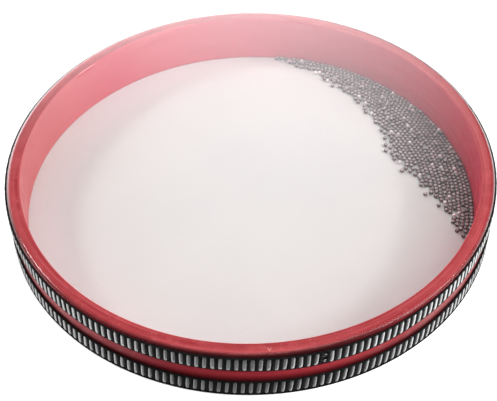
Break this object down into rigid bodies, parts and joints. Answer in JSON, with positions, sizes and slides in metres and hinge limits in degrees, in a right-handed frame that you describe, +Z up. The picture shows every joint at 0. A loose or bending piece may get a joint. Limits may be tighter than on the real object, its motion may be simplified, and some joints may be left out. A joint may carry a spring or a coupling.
{
  "type": "ocean drum",
  "caption": "Shallow round hand drum: a bent-wood hoop closed by a white head below and a clear head above, with braided edges and loose steel shot that sweeps round inside it.",
  "frame": {"origin": "centre of the white head's outer face, where the drum stands", "axes": "+Z up along the drum's axis, from the white head to the clear head; -Y is the front of the picture's view and +X its right"},
  "size_m": [0.257, 0.257, 0.0301],
  "materials": {
    "red_painted_wood": "satin paint over streaky grain",
    "clear_film": "clear glossy film",
    "white_film": "smooth white film",
    "staple_wire": "bright wire",
    "black_braid": "woven tape with corded edges",
    "silver_satin": "shiny satin thread",
    "black_cord": "matt thread",
    "steel_shot": "plain dark steel"
  },
  "bodies": {
    "drum": {"hoop": "red_painted_wood", "clear_head": "clear_film", "white_head": "white_film", "upper_staples": "staple_wire", "lower_staples": "staple_wire", "upper_braid_tape": "black_braid", "upper_silver_cords": "silver_satin", "upper_black_cords": "black_cord", "lower_braid_tape": "black_braid", "lower_silver_cords": "silver_satin", "lower_black_cords": "black_cord"},
    "bank": {"shot_bank": "steel_shot"},
    "lead": {"shot_lead": "steel_shot"},
    "trail": {"shot_trail": "steel_shot"},
    "top_layer": {"shot_top_layer": "steel_shot"},
    "stray_a": {"stray_bead_a": "steel_shot"},
    "stray_b": {"stray_bead_b": "steel_shot"}
  },
  "joints": [
    {"name": "bank_sweep", "type": "hinge", "parent": "drum", "child": "bank", "pos_m": [0, 0, 0.0015], "axis": [0, 0, 1], "continuous": true},
    {"name": "trail_spread", "type": "hinge", "parent": "bank", "child": "trail", "pos_m": [0, 0, 0.0015], "axis": [0, 0, 1], "range_deg": [0, 60]},
    {"name": "lead_spread", "type": "hinge", "parent": "bank", "child": "lead", "pos_m": [0, 0, 0.0015], "axis": [0, 0, 1], "range_deg": [-60, 0]},
    {"name": "top_layer_hop", "type": "slide", "parent": "bank", "child": "top_layer", "axis": [0, 0, 1], "range_m": [0, 0.022]},
    {"name": "stray_a_roll", "type": "slide", "parent": "bank", "child": "stray_a", "axis": [-0.9542, -0.2991, 0], "range_m": [0, 0.195]},
    {"name": "stray_b_roll", "type": "slide", "parent": "bank", "child": "stray_b", "axis": [-0.9542, -0.2991, 0], "range_m": [0, 0.195]}
  ],
  "couplings": [
    {"joint": "lead_spread", "follows": "trail_spread", "ratio": -1}
  ]
}
